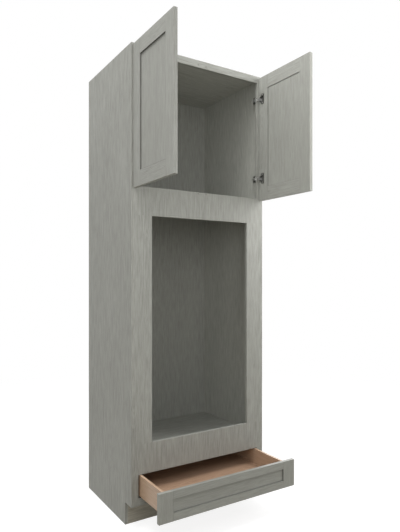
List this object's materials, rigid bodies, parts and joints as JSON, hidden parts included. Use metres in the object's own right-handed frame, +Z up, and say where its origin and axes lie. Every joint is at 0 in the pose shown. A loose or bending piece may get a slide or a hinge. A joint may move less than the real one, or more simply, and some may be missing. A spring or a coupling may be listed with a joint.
{
  "type": "tall oven housing unit",
  "caption": "Tall oven housing unit with an open oven bay, a cupboard with a pair of hinged doors above and a wide drawer below.",
  "frame": {"origin": "middle of the back's bottom edge, on the floor at the wall", "axes": "+X to the right seen from the front, +Y to the wall, +Z up; the front faces -Y"},
  "size_m": [0.8382, 1.0249, 2.4384],
  "materials": {
    "stained_wood": "grey stained fine-grained wood, satin",
    "toe_board": "grey-brown stained wood, satin",
    "raw_wood": "clear lacquered light wood",
    "steel": "bright zinc-plated steel",
    "dark_steel": "nickel-plated steel, darker",
    "clear_pad": "clear soft plastic",
    "grey_plastic": "grey moulded plastic"
  },
  "bodies": {
    "cabinet": {"side_panel_left": "stained_wood", "side_panel_right": "stained_wood", "back_panel": "stained_wood", "top_panel": "stained_wood", "upper_deck": "stained_wood", "oven_deck": "stained_wood", "bottom_panel": "stained_wood", "toe_kick_board": "toe_board", "oven_deck_cleats": "stained_wood", "wall_rail": "stained_wood", "frame_stile_left": "stained_wood", "frame_stile_right": "stained_wood", "frame_top_rail": "stained_wood", "frame_mid_rail": "stained_wood", "frame_lower_rail": "stained_wood", "frame_bottom_rail": "stained_wood", "oven_filler_left": "stained_wood", "oven_filler_right": "stained_wood", "bumpers": "clear_pad", "slide_spacer_left": "raw_wood", "slide_spacer_right": "raw_wood", "slide_rail_left": "steel", "slide_rail_right": "steel", "mounting_screws": "steel", "hinge_plates": "dark_steel", "hinge_arms_left": "steel", "hinge_arms_right": "steel"},
    "left_door": {"left_door_hinge_stile": "stained_wood", "left_door_free_stile": "stained_wood", "left_door_top_rail": "stained_wood", "left_door_bottom_rail": "stained_wood", "left_door_panel": "stained_wood", "left_hinge_cups": "dark_steel", "left_hinge_pins": "steel", "left_cup_screws": "steel"},
    "right_door": {"right_door_hinge_stile": "stained_wood", "right_door_free_stile": "stained_wood", "right_door_top_rail": "stained_wood", "right_door_bottom_rail": "stained_wood", "right_door_panel": "stained_wood", "right_hinge_cups": "dark_steel", "right_hinge_pins": "steel", "right_cup_screws": "steel"},
    "slide_carriages": {"slide_carriage_left": "steel", "slide_carriage_right": "steel"},
    "drawer": {"drawer_side_left": "raw_wood", "drawer_side_right": "raw_wood", "drawer_box_front": "raw_wood", "drawer_box_back": "raw_wood", "drawer_bottom": "raw_wood", "drawer_front_stile_left": "stained_wood", "drawer_front_stile_right": "stained_wood", "drawer_front_top_rail": "stained_wood", "drawer_front_bottom_rail": "stained_wood", "drawer_front_panel": "stained_wood", "drawer_runner_left": "steel", "drawer_runner_right": "steel", "drawer_clips": "grey_plastic", "drawer_front_screws": "steel"}
  },
  "joints": [
    {"name": "left_door_hinge", "type": "hinge", "parent": "cabinet", "child": "left_door", "pos_m": [-0.4032, -0.6233, 2.07], "axis": [0, 0, -1], "range_deg": [-90, 15]},
    {"name": "right_door_hinge", "type": "hinge", "parent": "cabinet", "child": "right_door", "pos_m": [0.4032, -0.6233, 2.07], "axis": [0, 0, 1], "range_deg": [-90, 15]},
    {"name": "drawer_slide", "type": "slide", "parent": "cabinet", "child": "drawer", "axis": [0, -1, 0], "range_m": [-0.257, 0.251]},
    {"name": "carriage_slide", "type": "slide", "parent": "cabinet", "child": "slide_carriages", "axis": [0, -1, 0], "range_m": [-0.1285, 0.1255]}
  ],
  "couplings": [
    {"joint": "carriage_slide", "follows": "drawer_slide", "ratio": 0.5}
  ]
}
